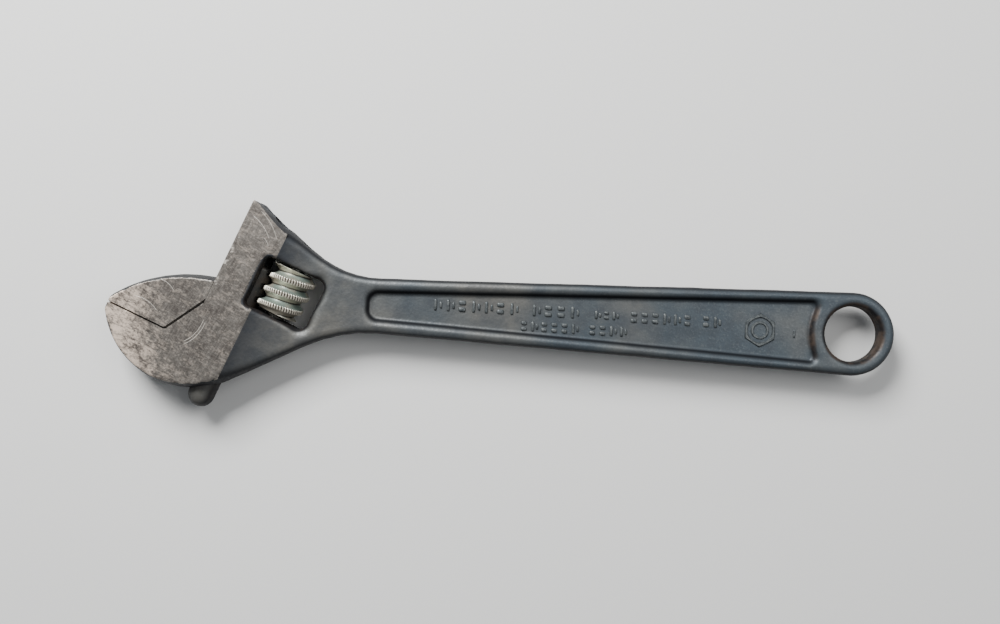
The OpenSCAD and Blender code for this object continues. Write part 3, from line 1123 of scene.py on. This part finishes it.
class Relief:
    """Raised plain marks, each a flat-topped rounded shape whose sides lean inwards."""

    sink = 0.3

    def __init__(self):
        self.vertices = []
        self.faces = []

    def raise_shape(self, outline, side, high, lean=0.28):
        """One closed mark on the upper face (side 1) or the lower one (side -1)."""
        middle = np.mean(outline, axis=0)
        n, first = len(outline), len(self.vertices)
        levels = [(1.15, -self.sink), (1, 0.1), (1 - lean * 0.35, high * 0.8), (1 - lean, high)]
        for scale, level in levels:
            self.add_points(middle + (np.array(outline) - middle) * scale, side, level)
        for ring in range(len(levels) - 1):
            self.add_band(first + ring * n, first + (ring + 1) * n, n, side)
        self.face(tuple(range(first + n - 1, first - 1, -1)), side)
        top = first + (len(levels) - 1) * n
        self.face(tuple(range(top, top + n)), side)

    def raise_ring(self, outer, inner, side, high, width=0.25):
        """A flat band between two outlines that have the same number of points."""
        n, first = len(outer), len(self.vertices)
        outer, inner = np.array(outer), np.array(inner)
        loops = [
            (outer, -self.sink),
            (outer, 0.05),
            (outer + (inner - outer) * width, high),
            (inner + (outer - inner) * width, high),
            (inner, 0.05),
            (inner, -self.sink),
        ]
        for outline, level in loops:
            self.add_points(outline, side, level)
        for ring in range(len(loops)):
            after = (ring + 1) % len(loops)
            self.add_band(first + ring * n, first + after * n, n, side)

    def add_points(self, outline, side, level):
        """An outline at a level over the panel's floor."""
        self.vertices += [(x, y, side * (panel_floor + level)) for x, y in outline]

    def add_band(self, one, other, n, side):
        """Faces between two outlines of n points, which start at the two numbers."""
        for i in range(n):
            j = (i + 1) % n
            self.face((one + i, one + j, other + j, other + i), side)

    def face(self, corners, side):
        """A face, turned over on the lower side so that it looks outwards."""
        self.faces.append(corners if side > 0 else corners[::-1])


def stadium(x, y, wide, tall, r):
    """A rounded rectangle about its middle."""
    return rounded([
        (x + wide / 2, y - tall / 2, r),
        (x + wide / 2, y + tall / 2, r),
        (x - wide / 2, y + tall / 2, r),
        (x - wide / 2, y - tall / 2, r),
    ])


def circle(middle, r, steps=24):
    """A circle's points from its top."""
    return [polar(middle, r, math.tau * (i / steps + 0.25)) for i in range(steps)]


def hexagon(middle, r, parts=4):
    """A hexagon's points from its top corner, with each side in equal parts."""
    corners = np.array(circle(middle, r, 6))
    after = np.roll(corners, -1, axis=0)
    return [corners[i] + (after[i] - corners[i]) * t / parts for i in range(6) for t in range(parts)]


def row_of_marks(relief, start, counts, y, tall, step, side, seed):
    """A row of upright bars and stacked pips in groups, evenly spaced from start."""
    rng = np.random.default_rng(seed)
    x = start
    for count in counts:
        for _ in range(count):
            if rng.random() < 0.6:
                relief.raise_shape(stadium(x, y, 1.0, tall, 0.45), side, 0.5)
                relief.raise_shape(stadium(x + step * 0.42, y, 0.9, tall * 0.55, 0.42), side, 0.45)
            else:
                for up in (-1, 1):
                    spot = stadium(x + 0.5, y + up * tall * 0.29, step * 0.55, tall * 0.36, 0.6)
                    relief.raise_shape(spot, side, 0.5)
            x += step
        x += step * 0.75


# Rows on the panels: start, marks in each group, y, height, step, side and seed
MARK_ROWS = (
    (-160.3, (7, 4), 1.9, 4.5, 4.9, 1, 11),
    (-98.5, (3,), 1.6, 3.2, 3.4, 1, 12),
    (-84.5, (6, 2), 1.5, 4.3, 4.1, 1, 13),
    (-126.5, (6, 4), -4.3, 3.9, 3.9, 1, 14),
    (-120, (8, 6), 0.2, 5.0, 5.2, -1, 15),
)


def make_panel_marks():
    """The rows of marks, a ringed hexagon on each panel, and one bar near the eye."""
    relief = Relief()
    for row in MARK_ROWS:
        row_of_marks(relief, *row)
    middle = (-35.5, -0.6)
    for side in (1, -1):
        relief.raise_ring(hexagon(middle, 6.6), circle(middle, 4.7), side, 0.55)
        relief.raise_ring(circle(middle, 3.5), circle(middle, 2.4), side, 0.5)
    relief.raise_shape(stadium(-22.3, -1.2, 0.9, 3.2, 0.4), 1, 0.35)
    return new_mesh("panel_marks", relief.vertices, relief.faces, MARK_STEEL, crisp=50)


def place(piece, body, slot, node=None):
    """Attaches a piece to its moving body and hides the part that it stands for. The slot is not used.
    """
    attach(piece, body)
    if node:
        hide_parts(node)


place(make_body(), "handle_body", "blackened_steel", "body")
place(make_jaw(), "jaw", "ground_steel", "movable_jaw")
place(make_turned("thumb_worm", "worm", worm_field, WORM_STEEL), "worm", "worm_steel", "worm")
pin = make_turned("pivot_pin", "worm_pin", pin_field, PIN_STEEL)
place(pin, "handle_body", "pin_steel", "worm_pin")
place(make_spring(), "handle_body", "spring_steel", "worm_spring")
place(make_panel_marks(), "handle_body", "blackened_steel")


# ---------------------------------------------------------------- stage

def make_floor():
    """A plain pale floor just under the wrench."""
    size, level = 1200 * MM, (-head_half - 0.02) * MM
    mesh = bpy.data.meshes.new("floor")
    corners = [(-size, -size, level), (size, -size, level), (size, size, level), (-size, size, level)]
    mesh.from_pydata(corners, [], [(0, 1, 2, 3)])
    mesh.materials.append(Finish("pale_floor").surface(Base_Color=FLOOR_PALE, Roughness=0.85))
    add_to_scene("floor", mesh)


def make_light(name, place_mm, aim_mm, size_mm, watts):
    """A square soft light that shines from one place towards another."""
    data = bpy.data.lights.new(name, "AREA")
    data.size = size_mm * MM
    data.energy = watts
    lamp = add_to_scene(name, data)
    start, aim = Vector(place_mm) * MM, Vector(aim_mm) * MM
    lamp.location = start
    lamp.rotation_mode = "QUATERNION"
    lamp.rotation_quaternion = (aim - start).to_track_quat("-Z", "Y")


def make_camera():
    """Straight over the wrench, turned a little, as someone looking down at a bench sees it."""
    data = bpy.data.cameras.new("camera")
    data.lens = 37.3
    data.sensor_width = 36
    data.clip_start = 10 * MM
    camera = add_to_scene("camera", data)
    camera.location = Vector((-135.4, 0.5, 400)) * MM
    camera.rotation_euler = (0, 0, math.radians(3.39))
    bpy.context.scene.camera = camera


def make_world():
    """Faint cool light from all round."""
    world = bpy.data.worlds.new("studio")
    world.use_nodes = True
    background = world.node_tree.nodes["Background"]
    background.inputs["Color"].default_value = (0.92, 0.95, 1.0, 1)
    background.inputs["Strength"].default_value = 0.24
    bpy.context.scene.world = world


make_floor()
make_light("window_light", (-470, 560, 560), (-140, 0, 0), size_mm=380, watts=19)
make_light("fill_light", (320, 200, 640), (-100, 0, 0), size_mm=500, watts=2.5)
make_world()
make_camera()
